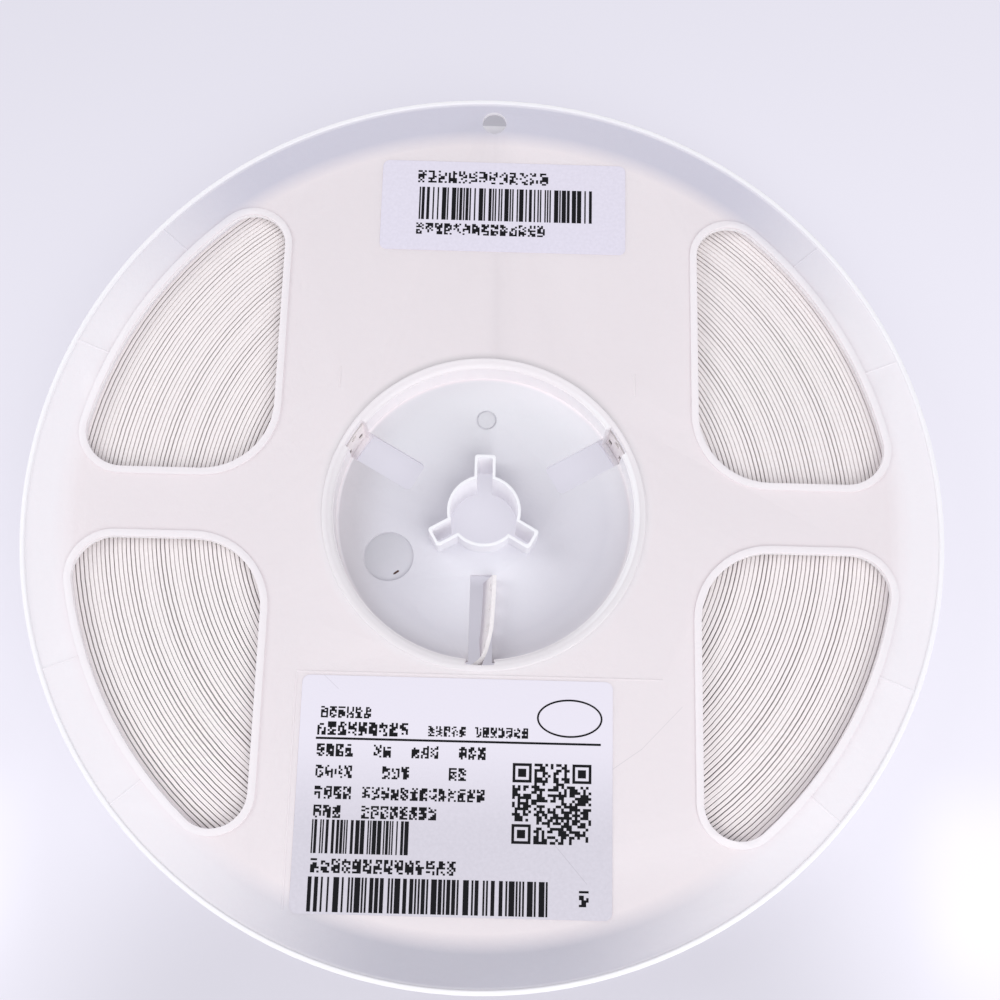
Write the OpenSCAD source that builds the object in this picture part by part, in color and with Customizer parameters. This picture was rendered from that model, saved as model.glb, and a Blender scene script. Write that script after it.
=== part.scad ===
// Seven-inch plastic reel for 8 mm paper carrier tape, wound full of surface-mount chips.
// It lies on its back: Z runs up along the arbor axis, and Y points to the hole in the rim.
// The origin is the centre of the arbor hole, in the plane of the lowest beads.

/* [Reel] */
// Outside diameter of both flanges
reel_d = 178; // [174:1:182]
// Clear width between the two flanges
tape_gap = 9; // [8.6:0.1:10]
// Thickness of each flange
flange_t = 1.2; // [1:0.1:1.6]
// Height of the beads over the outer face of a flange
bead_h = 0.4; // [0.3:0.05:0.6]
// Width of the bead round the rim
rim_bead_w = 1; // [0.8:0.1:2]
// Diameter of the small hole near the rim
rim_hole_d = 5; // [3:0.1:6]
// Distance from the edge of the rim to the middle of the small hole
rim_hole_inset = 5.2; // [4.6:0.1:6]

/* [Windows] */
// Distance from the middle of the reel to the straight inner edge of a window
window_x = 41.8; // [38:0.2:46]
// Half the width of the arm between the upper and lower windows
window_y = 7; // [6:0.2:10]
// Distance from the rim to the outer arc of a window
window_inset = 9.4; // [8:0.2:12]
// Corner radius beside the hub
window_hub_r = 13.6; // [10:0.2:15]
// Corner radius beside the arm, at the rim
window_arm_r = 7.6; // [5:0.2:9]
// Corner radius at the far end, at the rim
window_end_r = 6.6; // [4:0.2:8]
// Width of the bead round each window
window_bead_w = 1.4; // [1:0.1:2]

/* [Hub] */
// Diameter of the drum that carries the first turn of tape
hub_d = 61; // [60:0.5:64]
// Thickness of the drum wall
hub_wall = 1.4; // [1.2:0.1:2]
// Depth of the shoulder that the front flange sits on
shoulder = 0.4; // [0.3:0.05:0.6]
// Slack between the spigot of the hub and the hole in the front flange
spigot_clearance = 0.05; // [0:0.01:0.15]
// Width of the bead round the hub on each flange
hub_bead_w = 1.3; // [1:0.1:2]
// Thickness of the floor inside the hub
floor_t = 1.2; // [1:0.1:2]
// Depth of the floor below the outer face of the front flange
floor_depth = 5.3; // [4.5:0.1:6]
// Width of the two wide slots in the floor
slot_w = 6.2; // [5:0.1:7]
// Distance from the axis to the inner end of a wide slot
slot_start = 15.4; // [14:0.1:18]
// Width of the narrow slot that takes the end of the tape
tail_slot_w = 4.6; // [4.4:0.1:5]
// Distance from the axis to the inner end of the narrow slot
tail_slot_start = 11.6; // [11.4:0.1:13]
// Width of the notch in the drum wall that the tape comes in through
notch_w = 5.4; // [5:0.1:6]
// Diameter of the round dimple in the floor
dimple_d = 9.8; // [8:0.1:11]
// Depth of the round dimple
dimple_depth = 0.5; // [0.3:0.1:0.8]
// Diameter of the gate mark in the floor
gate_d = 4; // [3:0.1:5]
// Distance from the axis to the gate mark and to the dimple
gate_r = 20.2; // [18:0.1:22]

/* [Arbor] */
// Diameter of the arbor hole
arbor_d = 13.2; // [12.8:0.1:13.5]
// Width of the three key slots
key_w = 3; // [2:0.1:3.4]
// Distance from the axis to the end of a key slot
key_reach = 10.75; // [10:0.1:10.8]
// Wall of the collar round the arbor hole
collar_t = 0.55; // [0.4:0.05:0.8]

/* [Tape] */
// Width of the carrier tape
tape_w = 8; // [7.8:0.1:8.2]
// Thickness of one turn, with its cover tapes
tape_t = 0.82; // [0.75:0.01:0.9]
// Distance from the edge of the flanges to the outermost turn
rim_gap = 8.3; // [8:0.5:45]
// Depth of the groove between two turns
turn_groove = 0.3; // [0.1:0.05:0.4]
// Diameter of the sprocket holes
sprocket_d = 1.5; // [1:0.1:1.6]
// Distance between sprocket holes
sprocket_pitch = 4; // [4:1:8]
// Distance from the edge of the tape to the line of sprocket holes
sprocket_edge = 1.75; // [1.5:0.05:2]
// How far the end of the tape runs on from its crease before it bends inwards
tail_bow = 4.2; // [3:0.2:5]
// Length of the nearly straight end of the tape
tail_straight = 12; // [9:0.5:13]
// Gap between the tip of the tape and the inner end of its slot
tail_tip_gap = 0.4; // [0.3:0.1:3]
// Thickness of the adhesive tab on the outer end of the tape
tab_t = 0.1; // [0.05:0.01:0.15]

/* [Labels] */
// Thickness of the paper labels
label_t = 0.1; // [0.08:0.01:0.2]
// Corner radius of the labels
label_r = 1.4; // [0.5:0.1:3]
// Width of the lower label
low_label_w = 58; // [40:1:60]
// Height of the lower label
low_label_h = 43; // [30:1:44]
// Distance from the bead round the hub to the lower label
low_label_gap = 1.3; // [1.2:0.1:4]
// Offset of the lower label to the left of the middle
low_label_shift = 4; // [0:0.5:5]
// Width of the upper label
high_label_w = 50; // [30:1:56]
// Height of the upper label
high_label_h = 20; // [10:1:30]
// Distance from the edge of the rim to the upper label
high_label_inset = 14.5; // [12:0.5:20]
// Offset of the upper label to the right of the middle
high_label_shift = 2.3; // [0:0.1:5]

/* [Moulded lines] */
// Height of the fine raised lines on the front flange
line_h = 0.1; // [0.05:0.05:0.2]
// Width of the fine raised lines
line_w = 0.3; // [0.2:0.1:0.5]

/* [Hidden] */

$fn = 96;
eps = 0.5;                                   // overshoot of a cut past the face it opens

reel_r = reel_d / 2;
back_in_z = bead_h + flange_t;               // inner face of the back flange
front_in_z = back_in_z + tape_gap;           // inner face of the front flange
front_z = front_in_z + flange_t;             // outer face of the front flange
top_z = front_z + bead_h;                    // crest of the front beads
floor_top = front_z - floor_depth;

hub_r = hub_d / 2;
hub_in_r = hub_r - hub_wall;
spigot_r = hub_r - shoulder;
front_hole_r = spigot_r + spigot_clearance;

window_out_r = reel_r - window_inset;
roll_in_r = hub_r + 0.05;
turns = floor((reel_r - rim_gap - roll_in_r) / tape_t) - 1;
roll_out_r = roll_in_r + turns * tape_t;

// Centres of the three corner circles of the window in the first quadrant
hub_corner = [window_x + window_hub_r, window_y + window_hub_r];
arm_corner = [
    sqrt(pow(window_out_r - window_arm_r, 2) - pow(window_y + window_arm_r, 2)),
    window_y + window_arm_r];
end_corner = [
    window_x + window_end_r,
    sqrt(pow(window_out_r - window_end_r, 2) - pow(window_x + window_end_r, 2))];
arm_angle = atan2(arm_corner[1], arm_corner[0]);
end_angle = atan2(end_corner[1], end_corner[0]);

hub_bead_r = spigot_r + hub_bead_w;            // outside of the bead round the hub, on both flanges
collar_foot = bead_h;                        // the collar runs the whole way through the hub
collar_round = 0.6;                          // corner radius of the key slots
slot_round = 1.1;                            // inner corner radius of the wide slots
tail_slot_round = 0.25;                      // and of the narrow one
gate_depth = 0.3;
tab_margin = 0.3;                            // the adhesive tab is a little narrower than the tape
tab_gap = 0.03;                              // layer of adhesive under the tab
TICK = [29.2, 24.5, 4.2];                    // the two short upright marks beside the hub
KEY_ANGLES = [90, 210, 330];
SLOT_ANGLES = [30, 150];
TAIL_ANGLE = 270;
DIMPLE_ANGLE = 204.4;
LINE_ANGLES = [22, 40.7];                    // fine lines between window and rim, in each quadrant

// The first turn ends beside the notch, and the tail peels off there into the hub
tail_root = [-(notch_w / 2 + 0.3), -sqrt(pow(roll_in_r + tape_t / 2, 2) - pow(notch_w / 2 + 0.3, 2))];
tail_start = atan2(tail_root[1], tail_root[0]);
tail_t = tape_t - 0.08;                      // the bare paper, without its cover tape
pocket = [1.1, 1.9];                         // length and width of the pockets for the components
tail_tip = [tail_slot_w / 2 - tail_t / 2 - 0.15, -(tail_slot_start + tail_tip_gap)];
crease_r = 1.5;
crease_turn = 40;                            // heading of the tape after the crease at the notch

function polar(r, a) = [r * cos(a), r * sin(a)];

// ---- windows ----

// One window grown outwards by g: straight sides and the outer arc, with the corner circles let in
module window_outline(g = 0) {
    far = 2 * reel_r;
    intersection() {
        circle(r = window_out_r + g);
        polygon([
            [window_x - g, end_corner[1]], [window_x - g, hub_corner[1]], hub_corner,
            [hub_corner[0], window_y - g], [arm_corner[0], window_y - g], arm_corner,
            polar(far, arm_angle), polar(far, (arm_angle + end_angle) / 2), polar(far, end_angle),
            end_corner]);
    }
    translate(hub_corner) circle(r = window_hub_r + g);
    translate(arm_corner) circle(r = window_arm_r + g);
    translate(end_corner) circle(r = window_end_r + g);
}

// The same shape in all four quadrants
module four_ways() {
    for (mx = [0, 1], my = [0, 1])
        mirror([mx, 0, 0]) mirror([0, my, 0]) children();
}

// A solid of revolution of rectangular section, from radius r1 to r2 and from height z1 to z2
module ring(r1, r2, z1, z2)
    rotate_extrude() translate([r1, z1]) square([r2 - r1, z2 - z1]);

// Section of a round bead, w wide, standing on the X axis from x = 0 with its top corners taken off
module bead_section(w) {
    c = bead_h / 2;
    polygon([[0, -flange_t / 2], [w, -flange_t / 2], [w, bead_h - c], [w - c, bead_h], [c, bead_h],
        [0, bead_h - c]]);
}

// A fine raised line from one point of a flange to another, along X or Y
module moulded_line(from, to) {
    w = line_w / 2;
    translate([min(from[0], to[0]) - w, min(from[1], to[1]) - w, -flange_t / 2])
        cube([abs(to[0] - from[0]) + line_w, abs(to[1] - from[1]) + line_w, flange_t / 2 + line_h]);
}

// A flange with its outer face on z = 0, its beads upwards, and a hole of radius hole_r
module flange(hole_r) {
    difference() {
        union() {
            rotate_extrude() {
                translate([hole_r, -flange_t]) square([reel_r - hole_r, flange_t]);
                translate([hole_r, 0]) bead_section(hub_bead_r - hole_r);
                translate([reel_r - rim_bead_w, 0]) bead_section(rim_bead_w);
            }
            four_ways() translate([0, 0, -flange_t / 2])
                linear_extrude(flange_t / 2 + bead_h) window_outline(window_bead_w);
            four_ways() for (a = LINE_ANGLES) rotate([0, 0, a])
                moulded_line([window_out_r, 0], [reel_r - rim_bead_w / 2, 0]);
        }
        four_ways() translate([0, 0, -flange_t - eps])
            linear_extrude(flange_t + bead_h + 2 * eps) window_outline();
        translate([0, reel_r - rim_hole_inset, -flange_t - eps])
            cylinder(d = rim_hole_d, h = flange_t + 2 * eps);
    }
}

// ---- the two moulded halves ----

// Corner of the faint frame round the place for the lower label
module label_frame() {
    frame_x = low_label_shift + low_label_w / 2 + 1.2;
    frame_y = -(hub_bead_r + low_label_gap / 2);
    moulded_line([-frame_x, frame_y], [frame_x, frame_y]);
    moulded_line([-frame_x, frame_y], [-frame_x, frame_y - low_label_h]);
}

module front_half() color("#e9e6ea")
    translate([0, 0, front_z]) {
        flange(front_hole_r);
        label_frame();
        for (s = [-1, 1]) moulded_line([s * TICK[0], TICK[1]], [s * TICK[0], TICK[1] + TICK[2]]);
    }

// Key slot outline, reaching out along +X, grown by g
module key_outline(g) {
    r = collar_round;
    reach = key_reach + g;
    w = key_w + 2 * g;
    translate([0, -w / 2]) square([reach - r, w]);
    translate([0, r - w / 2]) square([reach, w - 2 * r]);
    for (s = [-1, 1]) translate([reach - r, s * (w / 2 - r)]) circle(r = r);
}

// The arbor hole with its three key slots, grown by g
module arbor_outline(g = 0) {
    circle(r = arbor_d / 2 + g);
    for (a = KEY_ANGLES) rotate([0, 0, a]) key_outline(g);
}

// Outline of a slot of width w that runs from radius r1 out past the drum wall, its inner corners round
module slot_outline(w, r1, round) {
    translate([r1 + round, -w / 2]) square([hub_r + eps - r1 - round, w]);
    translate([r1, round - w / 2]) square([round + eps, w - 2 * round]);
    for (s = [-1, 1]) translate([r1 + round, s * (w / 2 - round)]) circle(r = round);
}

// A cutter of that outline, from the inside of the back flange up through the drum's edge
module slot_cut(angle, w, r1, round)
    rotate([0, 0, angle]) translate([0, 0, back_in_z])
        linear_extrude(front_z + eps - back_in_z) slot_outline(w, r1, round);

module back_half() color("#dfdde8")
    difference() {
        union() {
            translate([0, 0, bead_h]) mirror([0, 0, 1]) flange(hub_in_r);
            ring(hub_in_r, hub_r, bead_h + flange_t / 2, front_in_z);
            ring(hub_in_r, spigot_r, bead_h + flange_t / 2, front_z);
            ring(arbor_d / 4, hub_in_r + hub_wall / 2, floor_top - floor_t, floor_top);
            translate([0, 0, collar_foot]) linear_extrude(front_z - collar_foot) arbor_outline(collar_t);
        }
        translate([0, 0, -eps]) linear_extrude(top_z + 2 * eps) arbor_outline();
        for (a = SLOT_ANGLES) slot_cut(a, slot_w, slot_start, slot_round);
        slot_cut(TAIL_ANGLE, tail_slot_w, tail_slot_start, tail_slot_round);
        slot_cut(TAIL_ANGLE, notch_w, hub_in_r - floor_t / 2, tail_slot_round);
        rotate([0, 0, DIMPLE_ANGLE]) translate([gate_r, 0, floor_top - dimple_depth])
            cylinder(d = dimple_d, h = dimple_depth + eps);
        translate([0, gate_r, floor_top - gate_depth]) difference() {
            cylinder(d = gate_d, h = gate_depth + eps);
            cylinder(d = gate_d - 2 * gate_depth, h = gate_depth);
        }
    }

// ---- the wound tape ----

// Half of the turns: rings of one pitch with a groove between them, top and bottom
module half_turns(first_r) {
    last_r = first_r + turns * tape_t;
    ridges = [for (k = [0 : turns - 1], i = [0, 1])
        [first_r + (k + i / 2) * tape_t, k + i > 0 ? (1 - i) * turn_groove : 0]];
    rotate_extrude(angle = 180) polygon(concat(
        [for (p = ridges) [p[0], tape_w - p[1]]],
        [[last_r, tape_w], [last_r, 0]],
        [for (i = [len(ridges) - 1 : -1 : 0]) ridges[i]]));
}

// Two sets of half turns about centres half a pitch apart join into one spiral
module spiral_roll() {
    half_turns(roll_in_r);
    translate([tape_t / 2, 0, 0]) mirror([0, 1, 0]) half_turns(roll_in_r + tape_t / 2);
}

root_heading = tail_start + 90;
crease_centre = tail_root + crease_r * [-sin(root_heading), cos(root_heading)];
crease_end = crease_centre + crease_r * [sin(crease_turn), -cos(crease_turn)];

// The bow from the crease to the tip: a cubic curve, where t runs from 0 to 1
bow = [
    crease_end,
    crease_end + tail_bow * [cos(crease_turn), sin(crease_turn)],
    tail_tip - [0.25, tail_straight],
    tail_tip];
function bow_point(t) = pow(1 - t, 3) * bow[0] + 3 * t * pow(1 - t, 2) * bow[1]
    + 3 * t * t * (1 - t) * bow[2] + t * t * t * bow[3];
function bow_heading(t) = let (d = pow(1 - t, 2) * (bow[1] - bow[0])
    + 2 * t * (1 - t) * (bow[2] - bow[1]) + t * t * (bow[3] - bow[2])) atan2(d[1], d[0]);

// Centre line of the tail as [x, y, heading]: a root inside the first turn, the crease, the bow
tail_line = concat(
    [for (d = [-1, 0]) [tail_root[0] + d * cos(root_heading), tail_root[1] + d * sin(root_heading),
        root_heading]],
    [for (i = [1 : 5]) let (a = root_heading + (crease_turn - root_heading) * i / 6)
        [crease_centre[0] + crease_r * sin(a), crease_centre[1] - crease_r * cos(a), a]],
    [for (i = [0 : 16]) let (p = bow_point(i / 16)) [p[0], p[1], bow_heading(i / 16)]]);

// A point beside the centre line, at the distance side to its left
function beside(q, side) = [q[0] - side * sin(q[2]), q[1] + side * cos(q[2])];

// Sprocket holes and pockets across the tape, seen along X, by the distance of each from the tip
module tape_holes(across) {
    for (d = [3 : sprocket_pitch : tail_straight + 1]) translate([-across / 2, -d, 0]) {
        translate([0, 0, tape_w - sprocket_edge]) rotate([0, 90, 0])
            cylinder(d = sprocket_d, h = across, $fn = 24);
        translate([0, sprocket_pitch / 2 - pocket[0] / 2, tape_w - sprocket_edge - 3.5 - pocket[1] / 2])
            cube([across, pocket[0], pocket[1]]);
    }
}

module tail() difference() {
    last = len(tail_line) - 1;
    linear_extrude(tape_w) polygon([
        for (q = tail_line) beside(q, tail_t / 2),
        for (i = [last : -1 : 0]) beside(tail_line[i], -tail_t / 2)]);
    translate([tail_tip[0], tail_tip[1], 0]) tape_holes(6 * tape_t);
}

// Turns the spiral so that its inner end meets the tail and the tape leaves it clockwise
module as_wound() translate([0, 0, back_in_z]) rotate([0, 0, tail_start]) mirror([0, 1, 0]) children();

module carrier_tape() color("#f0ede6") {
    as_wound() spiral_roll();
    translate([0, 0, back_in_z]) tail();
}

// One face of the adhesive tab, at a distance off from the tape: round the last turn up to its end,
// straight down the step, and on round the turn below
tab_step = acos(roll_out_r / (roll_out_r + tape_t));
function tab_side(off) = concat(
    [for (a = [-9 : 0]) polar(roll_out_r + tape_t / 2 + off, a) + [tape_t / 2, 0]],
    [for (a = [0 : 7]) polar(roll_out_r + off, tab_step + a)]);

module end_tab() color("#e6e2cf") {
    outer = tab_side(tab_gap + tab_t);
    last = len(outer) - 1;
    as_wound() translate([0, 0, tab_margin]) linear_extrude(tape_w - 2 * tab_margin)
        polygon(concat(tab_side(tab_gap), [for (i = [last : -1 : 0]) outer[i]]));
}

// ---- the labels ----

module label(w, h) {
    translate([-w / 2, label_r - h / 2]) square([w, h - 2 * label_r]);
    translate([label_r - w / 2, -h / 2]) square([w - 2 * label_r, h]);
    for (sx = [-1, 1], sy = [-1, 1])
        translate([sx * (w / 2 - label_r), sy * (h / 2 - label_r)]) circle(r = label_r);
}

module lower_label() color("white")
    translate([-low_label_shift, -(hub_bead_r + low_label_gap + low_label_h / 2), front_z])
        linear_extrude(label_t) label(low_label_w, low_label_h);

module upper_label() color("white")
    translate([high_label_shift, reel_r - high_label_inset - high_label_h / 2, front_z])
        linear_extrude(label_t) label(high_label_w, high_label_h);

front_half();
back_half();
carrier_tape();
end_tab();
lower_label();
upper_label();
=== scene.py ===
"""Reel of carrier tape: smooth mouldings, the wound tape, printed labels and a studio round the solids."""

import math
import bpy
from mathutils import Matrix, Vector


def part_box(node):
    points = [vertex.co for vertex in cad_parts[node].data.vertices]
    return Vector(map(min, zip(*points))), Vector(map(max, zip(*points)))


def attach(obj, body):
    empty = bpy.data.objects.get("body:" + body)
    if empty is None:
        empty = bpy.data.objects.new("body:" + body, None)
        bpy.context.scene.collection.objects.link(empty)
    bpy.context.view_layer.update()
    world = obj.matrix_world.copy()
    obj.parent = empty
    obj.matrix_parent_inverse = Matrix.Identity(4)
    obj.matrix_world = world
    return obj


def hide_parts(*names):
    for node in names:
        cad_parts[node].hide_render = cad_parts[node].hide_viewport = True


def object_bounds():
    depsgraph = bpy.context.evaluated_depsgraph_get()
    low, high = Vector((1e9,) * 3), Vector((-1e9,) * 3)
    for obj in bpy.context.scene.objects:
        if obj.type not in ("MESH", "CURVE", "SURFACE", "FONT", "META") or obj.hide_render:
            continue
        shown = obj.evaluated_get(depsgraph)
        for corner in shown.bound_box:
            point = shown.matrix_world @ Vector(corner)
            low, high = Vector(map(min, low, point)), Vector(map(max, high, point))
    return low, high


bl_info = {
    "name": "Tape Reel Dresser",
    "version": (1, 0, 0),
    "blender": (4, 5, 0),
    "location": "View3D > Sidebar > Tape Reel",
    "description": "Builds the wound paper tape, label print, finishes and studio of a surface-mount tape reel",
    "category": "Object",
}

import bmesh
import bpy
import numpy as np
from bpy.props import FloatProperty, FloatVectorProperty, IntProperty, PointerProperty
from mathutils import Vector
from mathutils.geometry import delaunay_2d_cdt

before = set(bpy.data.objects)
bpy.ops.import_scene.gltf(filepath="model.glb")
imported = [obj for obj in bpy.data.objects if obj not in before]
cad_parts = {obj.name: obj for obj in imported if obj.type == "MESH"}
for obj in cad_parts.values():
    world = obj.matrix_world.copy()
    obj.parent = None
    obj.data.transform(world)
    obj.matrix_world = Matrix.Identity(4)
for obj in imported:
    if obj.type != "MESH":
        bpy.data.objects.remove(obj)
CAD_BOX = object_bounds()
MM = 0.001

TAPE_LOW, TAPE_HIGH = (np.array(corner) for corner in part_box("carrier_tape"))
LOWER_LABEL = [np.array(corner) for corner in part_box("lower_label")]
UPPER_LABEL = [np.array(corner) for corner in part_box("upper_label")]
REEL_TOP = CAD_BOX[1][2]

# Lengths from here to the shaders are in millimetres; inside the shaders they are in metres
SHARP = math.radians(32)                   # faces that turn by more than this meet in an edge
EDGE_ROUND = 0.00018                       # width of the mouldings' rounded edges, in metres
SEAM_R = 30.12                             # where the front flange meets the drum, round the hub

# The ring that covers the seam round the hub: its profile as radius and depth below the reel's top, and the
# drum's notches as middle in degrees and half width, which it keeps clear of
LIP_PROFILE = [(29.25, 0.41), (29.3, 0.34), (29.5, 0.21), (29.8, 0.09), (30.1, 0.03), (30.45, 0.004), (30.45, 1.6),
               (29.25, 1.6)]
NOTCHES = [(30, 3.15), (150, 3.15), (270, 2.75)]
LIP_CLEARANCE = 0.03

ROLL_INNER = 30.55
ROLL_START = math.atan2(-30.82, -3.0)      # where the innermost turn starts and the tail leaves it
ROLL_STEPS = 108                           # rows of the roll's mesh in one turn
# Across one turn, as a share of the pitch, and depth below the tape's edge: a groove and a flat
TURN_PROFILE = [(0.0, 0.9), (0.09, 0.8), (0.13, 0.08), (0.2, 0.0), (0.8, 0.0), (0.94, 0.08)]

TAPE_WIDTH = 8.0
TAIL_THICKNESS = 0.74
SPROCKET_PITCH, SPROCKET_R, SPROCKET_ROW = 4.0, 0.75, 6.25
POCKET_HALF_LENGTH, POCKET_HALF_WIDTH, POCKET_ROW = 0.55, 0.95, 2.75
# The stretches of tape seen through the drum's side notches; their length is measured on FACE_BEND_R
FACE_R, FACE_BEND_R, FACE_LENGTH, FACE_THICKNESS, FACE_MARGIN = 30.28, 30.3, 10.0, 0.3, 0.15

# The tail's centre line: along the notch, round its bend and up the floor's slot
TAIL_PATH = np.array([
    (-3.9, -30.72), (-3.0, -30.8), (-2.4, -30.72), (-1.9, -30.45), (-1.3, -29.95), (-0.55, -29.25),
    (0.05, -28.6), (0.5, -27.75), (0.8, -26.7), (1.05, -25.0), (1.25, -23.0), (1.42, -20.5),
    (1.55, -17.5), (1.62, -15.0), (1.66, -12.2)])
# The tail's full lean, where along it the lean starts and over what length it rises, and its shift sideways by then
LEAN = math.radians(13)
LEAN_START, LEAN_OVER, LEAN_SHIFT = 3.0, 8.0, 0.75

PRINT_SINK, PRINT_HEIGHT = 0.01, 0.03      # how far the print starts below the paper, and its thickness
PRINT_SEED = 11
OVAL = ((17.0, -39.7), 12.2, 7.1, 0.34)    # the empty oval's centre, width, height and line

# The arbor hole, its three key slots and the collar round them, in metres
BORE_R = 0.0066
KEY_ANGLES = (90, 210, 330)
KEY_HALF, KEY_END = 0.0015, 0.01075
COLLAR_OUTSIDE = (0.0125, 0.012)           # its outside blends between these two radii

# Lines of painted shade along creases in the lower label, and scratches on the flange, in metres:
# start, end and strength
CREASE_SHADES = [((0.0135, -0.0615), (0.0204, -0.0694), 0.35), ((-0.0292, -0.0325), (-0.0262, -0.0352), 0.25)]
SCRATCHES = [((0.025, -0.0488), (0.0304, -0.045), 0.25), ((0.0304, -0.045), (0.038, -0.037), 0.2)]

# The stage, in metres, degrees and watts
FLOOR_HALF = 3.0
LAMPS = (("key", (0.34, -0.55, 0.62), 0.9, 4.75), ("fill", (-0.75, 0.15, 0.55), 0.6, 2.5))
CAMERA_LENS, CAMERA_SENSOR = 52.53, 36
CAMERA_PLACE, CAMERA_TURN = (0.00095, -0.07389, 0.28386), (15.604, -0.818, 1.345)


def smooth_path(points, count):
    """Points at even steps along a smooth curve that passes close to the given ones, and the curve's length.

    Each round puts a point halfway along every stretch and draws the old ones an eighth towards both neighbours.
    """
    for _ in range(3):
        middle = (points[:-1] + points[1:]) / 2
        inner = points[1:-1] * 0.75 + (points[:-2] + points[2:]) * 0.125
        mixed = np.empty((len(points) * 2 - 1, 2))
        mixed[0], mixed[-1] = points[0], points[-1]
        mixed[1::2] = middle
        mixed[2:-1:2] = inner
        points = mixed
    reach = np.concatenate([[0], np.cumsum(np.hypot(*np.diff(points, axis=0).T))])
    even = np.linspace(0, reach[-1], count)
    return np.stack([np.interp(even, reach, points[:, i]) for i in (0, 1)], -1), reach[-1]


TAIL_LINE, TAIL_LENGTH = smooth_path(TAIL_PATH, 200)


def tail_place(s, h, side):
    """A point of the tail: on its line, moved sideways, and leaning about its upper edge.

    share(s) rises evenly from 0 at LEAN_START to 1 after LEAN_OVER; the shift follows it, and the lean its smoothstep.
    """
    reach = s / TAIL_LENGTH * (len(TAIL_LINE) - 1)
    slope = np.gradient(TAIL_LINE, axis=0)
    slope /= np.hypot(*slope.T)[:, None]
    x, y, along_x, along_y = (np.interp(reach, np.arange(len(TAIL_LINE)), row)
                              for row in (*TAIL_LINE.T, *slope.T))
    share = np.clip((s - LEAN_START) / LEAN_OVER, 0, 1)
    lean = LEAN * share * share * (3 - 2 * share)
    below = h - TAPE_WIDTH
    off = side * np.cos(lean) - below * np.sin(lean) - LEAN_SHIFT * share
    lift = TAPE_HIGH[2] / MM + below * np.cos(lean) + side * np.sin(lean)
    return np.stack([x - along_y * off, y + along_x * off, lift], -1)


# ---- meshes ----

def mesh_piece(name, points, faces, material, smooth=True, crisp=None):
    """A piece from an array of points in millimetres and one of faces, with one material, on the reel."""
    mesh = bpy.data.meshes.new(name)
    mesh.from_pydata((np.asarray(points) * MM).tolist(), [], [tuple(face) for face in faces])
    mesh.validate()
    mesh.update()
    mesh.materials.append(material)
    if smooth:
        mesh.shade_smooth()
    if crisp is not None:
        mesh.set_sharp_from_angle(angle=crisp)
    piece = bpy.data.objects.new(name, mesh)
    bpy.context.scene.collection.objects.link(piece)
    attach(piece, "root")
    return piece


def softened(name, material):
    """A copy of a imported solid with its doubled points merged, its flat faces joined and its edges rounded.

    An edge is rounded where its two faces turn by more than SHARP; the edges of the seam round the hub stay crisp.
    """
    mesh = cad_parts[name].data.copy()
    mesh.name = name + "_moulding"
    work = bmesh.new()
    work.from_mesh(mesh)
    bmesh.ops.remove_doubles(work, verts=work.verts, dist=2e-6)
    bmesh.ops.dissolve_limit(work, angle_limit=math.radians(0.2), verts=work.verts, edges=work.edges)
    turns = np.array([edge.calc_face_angle(0.0) for edge in work.edges])
    middles = np.array([(edge.verts[0].co + edge.verts[1].co) / 2 for edge in work.edges])
    radius = np.hypot(middles[:, 0], middles[:, 1])
    seam = (np.abs(radius - SEAM_R * MM) < 0.0001) & (middles[:, 2] > REEL_TOP - 0.001)
    weights = np.where(turns > SHARP, np.where(seam, 0.0, 1.0), 0.0)
    work.to_mesh(mesh)
    work.free()
    mesh.attributes.new("bevel_weight_edge", "FLOAT", "EDGE").data.foreach_set("value", weights.astype(np.float32))
    mesh.materials.clear()
    mesh.materials.append(material)
    mesh.shade_smooth()
    piece = bpy.data.objects.new(mesh.name, mesh)
    bpy.context.scene.collection.objects.link(piece)
    bevel = piece.modifiers.new("round edges", "BEVEL")
    bevel.width = EDGE_ROUND
    bevel.segments = 3
    bevel.limit_method = "WEIGHT"
    bevel.harden_normals = True
    bevel.use_clamp_overlap = True
    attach(piece, "root")
    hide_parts(name)


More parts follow.
